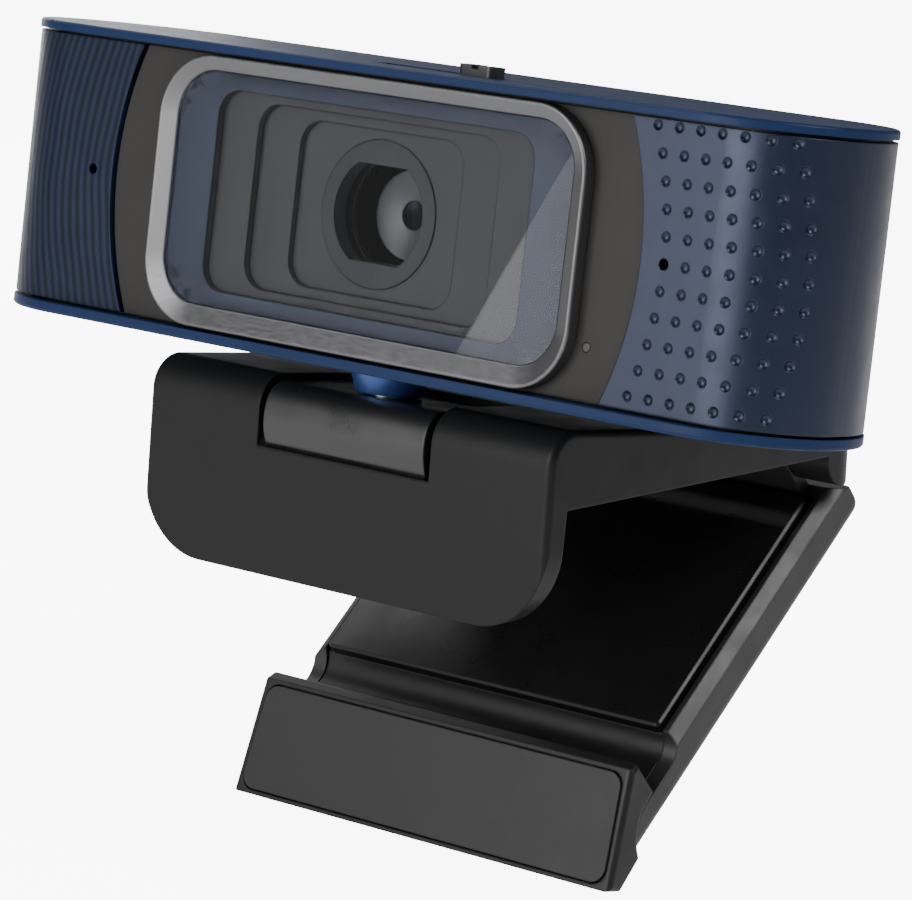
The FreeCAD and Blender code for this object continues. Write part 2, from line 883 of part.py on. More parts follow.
def make_hood():
    """The ring round the lens, open in a circle with a flat top and bottom."""
    s = Sizes
    body = front_plate("lens_hood", s.hood_front, s.hood_back - s.hood_front,
                       lambda sketch: draw_circle(sketch, 0, 0, s.hood_radius))
    half = root(s.hood_opening * s.hood_opening - s.hood_flat * s.hood_flat)

    def opening(sketch):
        draw_path(sketch, [(-half, -s.hood_flat, s.hood_opening), (half, -s.hood_flat),
                           (half, s.hood_flat, s.hood_opening), (-half, s.hood_flat)])

    sink(body, s.hood_front, None, opening)
    keep(body, "lens_hood", "head")


def revolve(body, plane, points, axis_role):
    """A full turn of an outline about one of the body's own axes."""
    sketch = new_sketch(body, plane)
    draw_path(sketch, points)
    axis = [item for item in body.Origin.OriginFeatures if item.Role == axis_role][0]
    feature = body.newObject("PartDesign::Revolution", body.Label + "_turn")
    feature.Profile = sketch
    feature.ReferenceAxis = (axis, [""])
    feature.Angle = 360
    doc.recompute()
    return feature


def make_lens():
    s = Sizes
    inner = s.lens_glass_radius
    barrel = new_body("lens_barrel")
    start = s.lens_face + s.retainer_thickness
    revolve(barrel, "XY", [(inner, start), (s.retainer_radius, start),
                           (s.retainer_radius, s.lens_barrel_back), (inner, s.lens_barrel_back)],
            "Y_Axis")
    keep(barrel, "lens_barrel", "head")
    retainer = new_body("lens_retainer")
    revolve(retainer, "XY", [(s.pupil_radius, s.lens_face + s.retainer_thickness * 0.5),
                             (s.retainer_radius, s.lens_face), (s.retainer_radius, start),
                             (s.pupil_radius, start)], "Y_Axis")
    keep(retainer, "lens_retainer", "head")
    lens = new_body("front_lens")
    edge = start + s.bezel_fit
    radius = s.lens_glass_radius - s.bezel_fit
    revolve(lens, "XY", [(0, edge), (radius, edge), (radius, edge + s.lens_thickness),
                         (0, edge + s.lens_thickness)], "Y_Axis")
    keep(lens, "front_lens", "head")
    back_lens = new_body("rear_lens")
    edge = s.lens_barrel_back - s.lens_thickness - 1
    revolve(back_lens, "XY", [(0, edge), (radius, edge), (radius, edge + s.lens_thickness),
                              (0, edge + s.lens_thickness)], "Y_Axis")
    keep(back_lens, "rear_lens", "head")


def make_electronics():
    s = Sizes
    holder_front = s.lens_barrel_back - s.lens_grip
    holder = front_plate("lens_holder", holder_front, s.board_front - holder_front,
                         lambda sketch: centred(sketch, s.holder_side, s.holder_side, 1))
    sink(holder, holder_front, None,
         lambda sketch: draw_circle(sketch, 0, 0, s.retainer_radius + s.bezel_fit))

    def pilots(sketch):
        for x in (-1, 1):
            for z in (-1, 1):
                draw_circle(sketch, s.board_screw_spot * x, s.board_screw_spot * z, s.screw_radius)

    sink(holder, holder_front + 1, None, pilots)
    keep(holder, "lens_holder", "head")
    sensor = front_plate("image_sensor", s.board_front - s.sensor_thickness, s.sensor_thickness,
                         lambda sketch: centred(sketch, s.sensor_side, s.sensor_side, 0.5))
    keep(sensor, "image_sensor", "head")
    ir = front_plate("infrared_filter", s.board_front - s.sensor_thickness - 0.8, 0.4,
                     lambda sketch: centred(sketch, s.sensor_side, s.sensor_side, 0.5))
    keep(ir, "infrared_filter", "head")
    board = front_plate("main_board", s.board_front, s.board_thickness,
                        lambda sketch: centred(sketch, s.board_width, s.board_height, 1))
    sink(board, s.board_front, None, pilots)
    keep(board, "main_board", "head")
    room = (s.head_depth - s.cap_reach - s.wing_inset - chassis_inset() - s.chassis_wall
            - s.board_front - s.board_thickness)
    socket = front_plate("cable_socket", s.board_front + s.board_thickness, room * 0.8,
                         lambda sketch: centred(sketch, 9, 4.5, 0.5, x=s.board_width / 4))
    keep(socket, "cable_socket", "head")
    screws = []
    for x in (-1, 1):
        for z in (-1, 1):
            screws.append(make_screw("board_screw", s.board_screw_spot * x,
                                     s.board_front + s.board_thickness, s.board_screw_spot * z,
                                     "back"))
    group("board_screws", screws, "head")


def make_screw(label, x, y, z, head_side, shank=None):
    """One screw: its bearing face at the point, its head on the side named."""
    s = Sizes
    shank = s.screw_length if shank is None else shank
    axis, turn = {"back": (X_AXIS, -90), "below": (X_AXIS, 180)}[head_side]
    head = doc.addObject("Part::Cylinder", label + "_head")
    bind(head, "Radius", s.screw_head_radius)
    bind(head, "Height", s.screw_head_height)
    stem = doc.addObject("Part::Cylinder", label + "_stem")
    bind(stem, "Radius", s.screw_radius)
    bind(stem, "Height", shank + s.screw_head_height / 2)
    stem.Placement.Base = Vector(0, 0, -shank.value)
    stem.setExpression("Placement.Base.z", "(0 - %s)" % shank.text)
    socket = doc.addObject("Part::Prism", label + "_socket")
    socket.Polygon = 6
    bind(socket, "Circumradius", s.screw_radius)
    bind(socket, "Height", s.screw_head_height)
    socket.Placement.Base = Vector(0, 0, s.screw_head_height.value / 2)
    socket.setExpression("Placement.Base.z", "Sizes.screw_head_height / 2")
    whole = doc.addObject("Part::Fuse", label + "_whole")
    whole.Base = head
    whole.Tool = stem
    screw = doc.addObject("Part::Cut", label)
    screw.Base = whole
    screw.Tool = socket
    place(screw, x, y, z, turn, axis)
    return screw


def group(label, members, frame):
    """Identical fasteners as one piece of separate solids."""
    compound = doc.addObject("Part::Compound", label)
    compound.Links = members
    keep(compound, label, frame)


def make_sound_and_light():
    s = Sizes
    face = s.wing_wall + s.shell_gap + s.chassis_wall
    for side_name, side_sign in (("left", -1), ("right", 1)):
        x = s.microphone_x * side_sign
        boot = front_plate(side_name + "_microphone_boot", face, s.boot_length,
                           lambda sketch: draw_circle(sketch, x, 0, s.boot_radius))
        sink(boot, face, None, lambda sketch: draw_circle(sketch, x, 0, s.microphone_hole))
        sink(boot, face + s.boot_length - s.microphone_length, None,
             lambda sketch: draw_circle(sketch, x, 0, s.microphone_radius + s.bezel_fit))
        keep(boot, side_name + "_microphone_boot", "head")
        capsule = front_plate(side_name + "_microphone", face + s.boot_length - s.microphone_length,
                              s.microphone_length,
                              lambda sketch: draw_circle(sketch, x, 0, s.microphone_radius))
        keep(capsule, side_name + "_microphone", "head")
    pipe = front_plate("status_light", s.panel_recess, s.light_length,
                       lambda sketch: draw_circle(sketch, s.light_x, s.light_z, s.light_radius))
    keep(pipe, "status_light", "head")


def make_cable_gland():
    """The sleeve that the cable leaves the back through."""
    s = Sizes
    back = s.head_depth - s.cap_reach - s.wing_inset
    inside = back - s.wing_wall - s.chassis_wall - s.shell_gap
    body = new_body("cable_gland")
    out = s.cable_radius + 0.6
    revolve(body, "XY", [(s.cable_radius, inside), (s.cable_gland_radius, inside),
                         (s.cable_gland_radius, back), (out, back + s.gland_length),
                         (s.cable_radius, back + s.gland_length)], "Y_Axis")
    keep(body, "cable_gland", "head")


# ---------------------------------------------------------------------------------- lens shutter
def make_shutter():
    s = Sizes
    blade_x = s.hood_opening + s.bezel_fit + s.shutter_width / 2
    blade = front_plate("shutter_blade", s.shutter_plane, s.shutter_thickness,
                        lambda sketch: centred(sketch, s.shutter_width, s.shutter_height, 1,
                                               x=blade_x))
    arm = new_sketch(blade, "XZ", -s.shutter_plane)
    arm_top = s.head_above - s.top_cap_thickness - s.shutter_gap * 2
    draw_box(arm, s.knob_x - s.shutter_arm / 2, s.shutter_height / 2 - 1,
             s.knob_x + s.shutter_arm / 2, arm_top)
    pad(blade, arm, s.shutter_thickness, flip=True)
    shelf = new_sketch(blade, "XY", arm_top - s.shutter_thickness)
    draw_box(shelf, s.knob_x - s.shutter_arm / 2, s.shutter_plane,
             s.knob_x + s.shutter_arm / 2, s.knob_y + s.knob_width / 2)
    pad(blade, shelf, s.shutter_thickness)
    keep(blade, "shutter_blade", "head")
    knob = new_body("shutter_knob")
    sketch = new_sketch(knob, "XY", arm_top)
    draw_rounded(sketch, s.knob_x - s.knob_length / 2, s.knob_y - s.knob_width / 2,
                 s.knob_x + s.knob_length / 2, s.knob_y + s.knob_width / 2, 0.5, 0.5)
    top = s.head_above + s.knob_rise
    pad(knob, sketch, top - arm_top)
    notch = new_sketch(knob, "XY", top)
    draw_box(notch, s.knob_x - s.knob_notch / 2, s.knob_y - s.knob_width,
             s.knob_x + s.knob_notch / 2, s.knob_y + s.knob_width)
    cut(knob, notch, s.knob_rise * 0.4)
    keep(knob, "shutter_knob", "head")
    rail_front = s.shutter_plane + s.shutter_thickness + s.shutter_gap
    rail = front_plate("shutter_rail", rail_front, s.rail_thickness,
                       lambda sketch: centred(sketch, s.rail_width, s.rail_height, 1,
                                              x=s.shutter_travel / 2))
    sink(rail, rail_front, None, lambda sketch: draw_circle(sketch, 0, 0, s.hood_opening))
    keep(rail, "shutter_rail", "head")


# ----------------------------------------------------------------------------------- neck and tilt
def make_neck():
    """The blue collar under the head that turns on the post."""
    s = Sizes
    body = new_body("neck_collar")
    foot = s.block_top + s.collar_gap - s.post_above_tilt
    low = -s.head_below
    seat = s.bottom_cap_thickness - s.head_below
    flange = seat + s.collar_flange
    bore = s.post_radius + s.running_fit
    revolve(body, "XZ", [(bore, foot), (s.collar_radius, foot), (s.collar_top_radius, low),
                         (s.collar_top_radius, seat),
                         (s.collar_top_radius + s.collar_overlap, seat),
                         (s.collar_top_radius + s.collar_overlap, flange), (bore, flange)],
            "Z_Axis")
    keep(body, "neck_collar", "neck")
    washer_low = flange + s.running_fit
    washer = rod("swivel_washer", s.post_head_radius + 0.4, s.washer_thickness,
                 (0, 0, washer_low + s.washer_thickness / 2), Z_AXIS, bore)
    keep(washer, "swivel_washer", "neck")
    nut_low = washer_low + s.washer_thickness + s.running_fit
    nut = rod("swivel_nut", s.post_head_radius, s.post_nut_thickness,
              (0, 0, nut_low + s.post_nut_thickness / 2), Z_AXIS, s.post_radius)
    keep(nut, "swivel_nut", "neck")
    post_foot = s.post_root - s.post_above_tilt
    post_top = nut_low + s.post_nut_thickness + 0.4
    post = rod("swivel_post", s.post_radius, post_top - post_foot,
               (0, 0, (post_top + post_foot) / 2), Z_AXIS)
    keep(post, "swivel_post", "neck")


def make_tilt_group():
    """The half-drum between the post and the clip, its pin and its washers."""
    s = Sizes
    body = new_body("tilt_block")
    sketch = new_sketch(body, "YZ")
    front_low = root(s.block_radius * s.block_radius - s.block_front_foot * s.block_front_foot)
    front_high = root(s.block_radius * s.block_radius - s.block_top * s.block_top)
    draw_path(sketch, [(-front_low, -s.block_front_foot, s.block_radius),
                       (-s.block_skirt_back, -s.block_skirt_top),
                       (s.block_rear, -s.block_rear_foot), (s.block_rear, s.block_top),
                       (-front_high, s.block_top)])
    pad(body, sketch, s.block_width, both=True)
    front, top = -front_high.value, s.block_top.value

    def top_front(edge):
        box = edge.BoundBox
        return (runs_along(edge, X_AXIS) and abs(box.YMin - front) < 1e-3
                and abs(box.ZMin - top) < 1e-3)

    round_edges(body, s.block_top_round, top_front)
    bore = new_sketch(body, "YZ")
    draw_circle(bore, 0, 0, s.tilt_pin_radius + s.running_fit)
    cut(body, bore, s.block_width + 1, both=True)
    seat = new_sketch(body, "XY", s.post_root)
    draw_circle(seat, 0, 0, s.post_radius)
    cut(body, seat, flip=True)
    keep(body, "tilt_block", "tilt")
    pin = rod("tilt_pin", s.tilt_pin_radius, s.tilt_pin_length, (0, s.tilt_y, s.tilt_z))
    keep(pin, "tilt_pin")
    washers = []
    gap = (s.notch_width - s.block_width) / 2
    for side_sign in (-1, 1):
        washers.append(rod("tilt_washer", s.tilt_washer_radius, gap - s.running_fit * 4,
                           ((s.block_width / 2 + gap / 2) * side_sign, s.tilt_y, s.tilt_z),
                           hole=s.tilt_pin_radius + s.running_fit))
    group("tilt_washers", washers, "clip")


# ------------------------------------------------------------------------------------------- clip
def lip_inner(height):
    """How far forward the lip's inner face is at one height."""
    s = Sizes
    slope = s.lip_lean / (s.lip_drop + s.pad_proud)
    return s.seat_front - slope * (s.pad_proud - as_size(height))


def clip_top(y):
    """The height of the clip's sloping top at one depth."""
    s = Sizes
    start_y = s.lip_front + s.roll_radius
    end_z = s.hinge_z + s.knuckle_radius
    slope = (s.roll_top - end_z) / (s.hinge_y - start_y)
    return s.roll_top - slope * (as_size(y) - start_y)


def make_clip_plate():
    """The upper jaw: front lip, rolled front edge, wedge-shaped top and two hinge lugs."""
    s = Sizes
    body = new_body("clip_plate")
    profile = new_sketch(body, "YZ")
    hinge_low = s.hinge_z - s.knuckle_radius
    rise = s.pad_proud - s.hinge_z
    reach = root(s.knuckle_radius * s.knuckle_radius - rise * rise)
    lip_low = -s.lip_drop
    lip_tip = lip_inner(lip_low)
    draw_path(profile, [
        (lip_tip - s.lip_tip_thickness, lip_low),
        (lip_tip, lip_low),
        (s.seat_front, s.pad_proud),
        (s.hinge_y - reach, s.pad_proud),
        (s.hinge_y, hinge_low, s.knuckle_radius),
        (s.hinge_y + s.knuckle_radius, s.hinge_z, s.knuckle_radius),
        (s.hinge_y, s.hinge_z + s.knuckle_radius, s.knuckle_radius),
        (s.lip_front + s.roll_radius, s.roll_top),
        (s.lip_front, s.roll_top - s.roll_radius, s.roll_radius)])
    pad(body, profile, s.clip_width, both=True)
    side = s.clip_width.value / 2
    above = s.hinge_z.value + s.knuckle_radius.value

    def upper_side(edge):
        return (abs(abs(edge.BoundBox.XMin) - side) < 1e-3 and edge.BoundBox.ZMax > above + 0.01
                and edge.BoundBox.XLength < 1e-3)

    round_edges(body, s.edge_round, upper_side)
    cut_corners(body, "XZ", -s.lip_drop, s.lip_corner, -1)
    cut_corners(body, "XY", s.hinge_y + s.knuckle_radius, s.rear_corner, 1)
    pocket = new_sketch(body, "YZ")
    drum = s.block_radius + s.block_gap
    draw_path(pocket, [(s.tilt_y - drum, s.tilt_z), (s.tilt_y, s.tilt_z - drum, drum),
                       (s.tilt_y + drum, s.tilt_z, drum), (s.tilt_y + drum, s.roll_top + 1),
                       (s.tilt_y - drum, s.roll_top + 1)])
    cut(body, pocket, s.notch_width, both=True)
    hollow = new_sketch(body, "YZ")
    draw_path(hollow, [(s.hollow_front, s.pad_proud - 1), (s.hollow_back, s.pad_proud - 1),
                       (s.hollow_back, clip_top(s.hollow_back) - s.hollow_roof),
                       (s.hollow_front, clip_top(s.hollow_front) - s.hollow_roof)])
    cut(body, hollow, s.hollow_width, both=True)
    gap = new_sketch(body, "YZ")
    gap_front = s.hinge_y - s.knuckle_radius - s.knuckle_gap
    draw_box(gap, gap_front, hinge_low - 1, s.hinge_y + s.knuckle_radius + 1,
             s.hinge_z + s.knuckle_radius + 1)
    cut(body, gap, s.clip_width - s.lug_width * 2, both=True)
    foot = s.pad_proud + s.cover_thickness
    for spots_in_row in (cover_screw_spots()[0::2], cover_screw_spots()[1::2]):
        bosses = new_sketch(body, "XY", foot)
        for x, y in spots_in_row:
            draw_circle(bosses, x, y, s.boss_radius)
        pad(body, bosses, clip_top(spots_in_row[0][1]) - s.boss_roof - foot)
    pilots = new_sketch(body, "XY", s.pad_proud)
    for x, y in cover_screw_spots():
        draw_circle(pilots, x, y, s.screw_radius)
    cut(body, pilots, s.cover_screw_length + s.running_fit, flip=True)
    pins = new_sketch(body, "YZ")
    draw_circle(pins, s.tilt_y, s.tilt_z, s.tilt_pin_radius)
    cut(body, pins, s.tilt_pin_length, both=True)
    hinge = new_sketch(body, "YZ")
    draw_circle(hinge, s.hinge_y, s.hinge_z, s.hinge_pin_radius)
    cut(body, hinge, s.clip_width - s.edge_round * 2, both=True)
    keep(body, "clip_plate")


def cut_corners(body, plane, end, radius, way):
    """Round off both corners of the clip at one end, seen square to a plane; way is 1 for the
    end with the higher numbers and -1 for the other."""
    side = Sizes.clip_width / 2
    corners = new_sketch(body, plane)
    for sign in (-1, 1):
        bend = -radius if sign * way > 0 else radius
        start = (side - radius) * sign
        stop = side * sign
        out = (side + 1) * sign
        draw_path(corners, [(start, end), (stop, end - radius * way, bend),
                            (out, end - radius * way), (out, end + way), (start, end + way)])
    cut(body, corners, Sizes.clip_width * 4, both=True)


def cover_screw_spots():
    s = Sizes
    inset = s.boss_radius + 1.5
    return [(side_sign * (s.hollow_width / 2 - inset), y) for side_sign in (-1, 1)
            for y in (s.hollow_front + inset, s.hollow_back - inset)]


def make_seat():
    s = Sizes
    cover = new_body("seat_cover")
    sketch = new_sketch(cover, "XY", s.pad_proud)
    half = s.hollow_width / 2 - s.cover_gap
    draw_box(sketch, -half, s.hollow_front + s.cover_gap, half, s.hollow_back - s.cover_gap)
    pad(cover, sketch, s.cover_thickness)
    holes = new_sketch(cover, "XY", s.pad_proud)
    for x, y in cover_screw_spots():
        draw_circle(holes, x, y, s.screw_radius + s.shell_gap)
    cut(cover, holes, flip=True)
    bores = new_sketch(cover, "XY", s.pad_proud)
    for x, y in cover_screw_spots():
        draw_circle(bores, x, y, s.screw_head_radius + s.shell_gap)
    cut(cover, bores, s.cover_thickness / 2, flip=True)
    keep(cover, "seat_cover")
    screws = [make_screw("cover_screw", x, y, s.pad_proud + s.cover_thickness / 2, "below",
                         s.cover_screw_length - s.cover_thickness / 2)
              for x, y in cover_screw_spots()]
    group("cover_screws", screws, "clip")
    seat = new_body("seat_pad")
    outline = new_sketch(seat, "XY", 0)
    middle = (s.hollow_front + s.hollow_back) / 2
    draw_rounded(outline, -s.seat_pad_width / 2, middle - s.seat_pad_length / 2,
                 s.seat_pad_width / 2, middle + s.seat_pad_length / 2, 1.5, 1.5)
    pad(seat, outline, s.pad_proud)
    wells = new_sketch(seat, "XY", s.pad_proud)
    for x, y in cover_screw_spots():
        draw_circle(wells, x, y, s.screw_head_radius + s.shell_gap)
    cut(seat, wells, s.pad_proud * 0.8)
    keep(seat, "seat_pad")
    lip = new_body("lip_pad")
    strip = new_sketch(lip, "YZ")
    high = s.lip_pad_height + s.lip_pad_low - s.lip_drop
    low = s.lip_pad_low - s.lip_drop
    draw_path(strip, [(lip_inner(low), low), (lip_inner(low) + s.lip_pad_thickness, low),
                      (lip_inner(high) + s.lip_pad_thickness, high), (lip_inner(high), high)])
    pad(lip, strip, s.lip_pad_width - s.lip_corner, both=True)
    keep(lip, "lip_pad")


def make_hinge_pin():
    s = Sizes
    pin = rod("hinge_pin", s.hinge_pin_radius, s.clip_width - s.edge_round * 2,
              (0, s.hinge_y, s.hinge_z))
    keep(pin, "hinge_pin")


# -------------------------------------------------------------------------------------------- leg
def leg_nose(clearance):
    """The rounded front edge of the leg shell's side walls: where it starts and ends."""
    s = Sizes
    start = (s.nose_length - s.leg_nose - clearance, -s.channel_floor + clearance)
    end = (-s.leg_nose - clearance, -s.leg_bottom)
    return start, end


def make_leg_shell():
    """The leg's outer tray: floor, side walls and the hinge barrel at its rear."""
    s = Sizes
    body = new_body("leg_shell")
    profile = new_sketch(body, "YZ")
    nose_start, nose_end = leg_nose(0)
    draw_path(profile, [
        (nose_end[0], nose_end[1], s.nose_radius),
        (s.leg_rear - s.rear_round, -s.leg_bottom),
        (s.leg_rear, s.rear_round - s.leg_bottom, s.rear_round),
        (s.leg_rear, -s.leg_top - s.rear_bevel),
        (s.leg_rear - s.rear_bevel, -s.leg_top),
        (-s.pad_front, -s.leg_top),
        (-s.pad_front - s.cove, -s.channel_floor, -s.cove_radius),
        nose_start])
    pad(body, profile, s.leg_width, both=True)
    round_edges(body, s.leg_chamfer, leg_side_edge(-s.leg_top), "Chamfer")
    round_edges(body, s.leg_round, leg_side_edge(-s.leg_bottom))
    tray = new_sketch(body, "YZ")
    draw_box(tray, -s.leg_nose - 2, s.leg_floor - s.leg_bottom, -s.tray_rear, 0)
    cut(body, tray, s.leg_width - s.leg_wall * 2, both=True)
    add_leg_barrel(body)
    floor = new_sketch(body, "XY", -s.leg_bottom)
    draw_circle(floor, 0, -s.nut_position, s.nut_radius)
    for x, y in leg_screw_spots():
        draw_circle(floor, x, y, s.screw_radius + s.shell_gap)
    cut(body, floor, s.leg_floor + 1, flip=True)
    bores = new_sketch(body, "XY", -s.leg_bottom)
    for x, y in leg_screw_spots():
        draw_circle(bores, x, y, s.screw_head_radius + s.shell_gap)
    cut(body, bores, s.screw_head_height, flip=True)
    keep(body, "leg_shell", "leg")


def leg_side_edge(height):
    """A test for the long straight edges of the leg at one height."""
    side = Sizes.leg_width.value / 2

    def test(edge):
        box = edge.BoundBox
        if abs(abs(box.XMin) - side) > 1e-3 or not runs_along(edge, Y_AXIS):
            return False
        return abs(box.ZMin - height.value) < 1e-3

    return test


def barrel_width():
    return Sizes.clip_width - Sizes.lug_width * 2 - Sizes.lug_side_gap * 2


def add_leg_barrel(body):
    s = Sizes
    barrel = new_sketch(body, "YZ")
    draw_circle(barrel, 0, 0, s.knuckle_radius)
    pad(body, barrel, barrel_width(), both=True)
    web = new_sketch(body, "YZ")
    draw_box(web, -s.knuckle_radius, -s.leg_top - 1, s.leg_rear - s.rear_bevel, 0)
    pad(body, web, barrel_width(), both=True)
    bore = new_sketch(body, "YZ")
    draw_circle(bore, 0, 0, s.bush_radius)
    cut(body, bore, s.leg_width, both=True)


def leg_screw_spots():
    s = Sizes
    return [(s.leg_width / 3 * side_sign, -y) for side_sign in (-1, 1)
            for y in (s.nut_position / 2, s.nut_position * 1.6)]


def make_leg_core():
    """The dark inner frame: it fills the tray, dips in a channel and ends in the raised foot."""
    s = Sizes
    body = new_body("leg_core_block")
    low = s.leg_fit - s.leg_bottom + s.leg_floor
    top = -s.pad_face - s.pad_thickness
    ridge_rear = s.foot_ridge_width - s.foot_ridge
    nose_start, nose_end = leg_nose(s.leg_fit)
    inner = new_sketch(body, "YZ")
    draw_path(inner, [
        (nose_start[0], low), (-s.tray_rear - s.leg_fit, low), (-s.tray_rear - s.leg_fit, top),
        (-s.pad_front, top), (-s.pad_front - s.cove, -s.channel_floor, -s.cove_radius),
        (ridge_rear, -s.channel_floor), (ridge_rear, 1 - s.channel_floor),
        (nose_start[0], 1 - s.channel_floor)])
    pad(body, inner, s.leg_width - s.leg_wall * 2 - s.leg_fit * 2, both=True)
    foot = new_sketch(body, "YZ")
    draw_path(foot, [
        nose_end, (nose_start[0], nose_start[1], -s.nose_radius), (ridge_rear, nose_start[1]),
        (ridge_rear, -s.foot_ridge_top - 0.4), (-s.foot_ridge, -s.foot_ridge_top),
        (-s.foot_tip, -s.foot_tip_below), (-s.foot_heel, -s.leg_bottom)])
    pad(body, foot, s.foot_width + s.foot_flare * 2, both=True)
    trim = new_sketch(body, "XY")
    for sign in (-1, 1):
        near, far = s.foot_width / 2 * sign, (s.foot_width / 2 + s.foot_flare) * sign
        out = (s.foot_width / 2 + 2) * sign
        draw_path(trim, [(near, ridge_rear), (far, -s.foot_tip), (out, -s.foot_tip),
                         (out, ridge_rear + 0.1), (near, ridge_rear + 0.1)])
    cut(body, trim, s.foot_width, both=True)
    side = s.foot_width.value / 2

    def foot_side(edge):
        reach = min(abs(edge.BoundBox.XMin), abs(edge.BoundBox.XMax))
        return reach > side - 1e-3 and edge.BoundBox.XLength < 1

    round_edges(body, s.foot_round, foot_side)
    nut = new_sketch(body, "XY", low)
    draw_circle(nut, 0, -s.nut_position, s.nut_radius + s.leg_fit)
    cut(body, nut, s.nut_length - s.leg_floor, flip=True)
    pilots = new_sketch(body, "XY", low)
    for x, y in leg_screw_spots():
        draw_circle(pilots, x, y, s.screw_radius)
    cut(body, pilots, s.leg_screw_length, flip=True)
    recess = foot_plate("foot_recess", s.foot_face_border / 4, s.foot_face_thickness)
    core = doc.addObject("Part::Cut", "leg_core")
    core.Base = body
    core.Tool = recess
    keep(core, "leg_core", "leg")


def foot_slope():
    """The tilt of the foot's flat face and the middle of it."""
    s = Sizes
    run = s.foot_tip - s.foot_ridge
    fall = s.foot_tip_below - s.foot_ridge_top
    angle = Size(math.degrees(math.atan2(fall.value, run.value)),
                 "(atan(%s / %s) / 1deg)" % (fall.text, run.text))
    middle_y = (s.foot_tip + s.foot_ridge) / -2
    middle_z = (s.foot_tip_below + s.foot_ridge_top) / -2
    length = root(run * run + fall * fall)
    return middle_y, middle_z, angle, length


def foot_plate(label, spread, depth):
    """A round-cornered plate sunk into the foot's sloping face."""
    s = Sizes
    middle_y, middle_z, angle, length = foot_slope()
    body = new_body(label)
    sketch = new_sketch(body, "XY", -depth)
    half_length = length / 2 - s.foot_face_border + spread
    bend = s.foot_face_round
    low, high = -half_length + bend, half_length - bend

    def side(y):
        return s.foot_face_width / 2 + spread + s.foot_flare * (half_length - y) / (half_length * 2)

    wide, narrow = side(-half_length) - bend, side(half_length) - bend
    draw_path(sketch, [(-wide, -half_length, bend), (wide, -half_length), (side(low), low, bend),
                       (side(high), high), (narrow, half_length, bend), (-narrow, half_length),
                       (-side(high), high, bend), (-side(low), low)])
    pad(body, sketch, depth + s.foot_face_proud)
    place(body, 0, middle_y, middle_z, angle)
    return body


def make_leg_pads():
    s = Sizes
    keep(foot_plate("foot_pad", as_size(0), s.foot_face_thickness), "foot_pad", "leg")
    pad_body = new_body("leg_pad")
    sketch = new_sketch(pad_body, "XY", -s.pad_face - s.pad_thickness)
    draw_rounded(sketch, -s.pad_width / 2, -s.pad_front, s.pad_width / 2, -s.pad_rear, 0.6, 0.6)
    pad(pad_body, sketch, s.pad_thickness)
    face = -s.pad_face
    round_edges(pad_body, s.pad_edge, lambda edge: lies_at(edge, "z", face), "Chamfer")
    keep(pad_body, "leg_pad", "leg")


def make_leg_fittings():
    s = Sizes
    bushes = []
    middle = (barrel_width() - s.bush_length) / 2
    for side_sign in (-1, 1):
        bushes.append(rod("hinge_bush", s.bush_radius, s.bush_length, (middle * side_sign, 0, 0),
                          hole=s.hinge_pin_radius + s.running_fit))
    group("hinge_bushes", bushes, "leg")
    nut = rod("tripod_nut", s.nut_radius, s.nut_length,
              (0, -s.nut_position, s.nut_length / 2 - s.leg_bottom), Z_AXIS, s.thread_radius)
    keep(nut, "tripod_nut", "leg")
    low = s.screw_head_height - s.leg_bottom
    screws = [make_screw("leg_screw", x, y, low, "below",
                         s.leg_screw_length + s.leg_floor - s.screw_head_height)
              for x, y in leg_screw_spots()]
    group("leg_screws", screws, "leg")


# ------------------------------------------------------------------------------- build and export
def check_everything():
    """Stop on any object that did not build."""
    for item in doc.Objects:
        if "Invalid" in item.State or "Error" in item.State:
            raise RuntimeError("%s is %s" % (item.Label, item.State))
    for piece in finished:
        if piece.Shape.isNull() or not piece.Shape.isValid():
            raise RuntimeError("the shape of %s is not sound" % piece.Label)


def main():
    make_sheet()
    for build in [make_top_cap, make_bottom_cap, make_chassis, make_left_wing, make_right_wing,
                  make_rear_cover, make_front_panel, make_bezel, make_window, make_surround,
                  make_hood, make_lens, make_electronics, make_sound_and_light,
                  make_cable_gland, make_shutter, make_neck, make_tilt_group, make_clip_plate,
                  make_seat, make_hinge_pin, make_leg_shell, make_leg_core, make_leg_pads,
                  make_leg_fittings]:
        build()
        doc.recompute()
    doc.recompute()
    check_everything()
    os.makedirs("parts", exist_ok=True)
    for piece in finished:
        piece.Shape.exportStep("parts/%s.step" % piece.Label)


main()
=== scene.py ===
"""Clip-on webcam: finishes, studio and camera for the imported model."""
import math

import bmesh
import bpy
from mathutils import Matrix, Vector


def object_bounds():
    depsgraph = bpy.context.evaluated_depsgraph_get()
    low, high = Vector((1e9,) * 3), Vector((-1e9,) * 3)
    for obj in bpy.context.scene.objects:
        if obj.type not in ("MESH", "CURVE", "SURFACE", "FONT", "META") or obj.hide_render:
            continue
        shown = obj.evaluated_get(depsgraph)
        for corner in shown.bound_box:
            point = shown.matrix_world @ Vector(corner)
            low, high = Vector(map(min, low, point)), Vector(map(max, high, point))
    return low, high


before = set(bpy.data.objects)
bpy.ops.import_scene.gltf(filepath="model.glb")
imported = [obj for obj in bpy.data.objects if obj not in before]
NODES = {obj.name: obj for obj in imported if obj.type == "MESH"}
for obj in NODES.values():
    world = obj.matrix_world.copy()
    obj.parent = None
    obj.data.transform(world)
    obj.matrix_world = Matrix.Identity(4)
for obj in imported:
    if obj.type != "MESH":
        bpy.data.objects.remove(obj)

bl_info = {
    "name": "Webcam finish",
    "version": (1, 0, 0),
    "blender": (4, 5, 0),
    "location": "View3D > Sidebar > Webcam",
    "description": "Finishes and studio for a clip-on webcam",
    "category": "Object",
}

CAD_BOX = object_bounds()


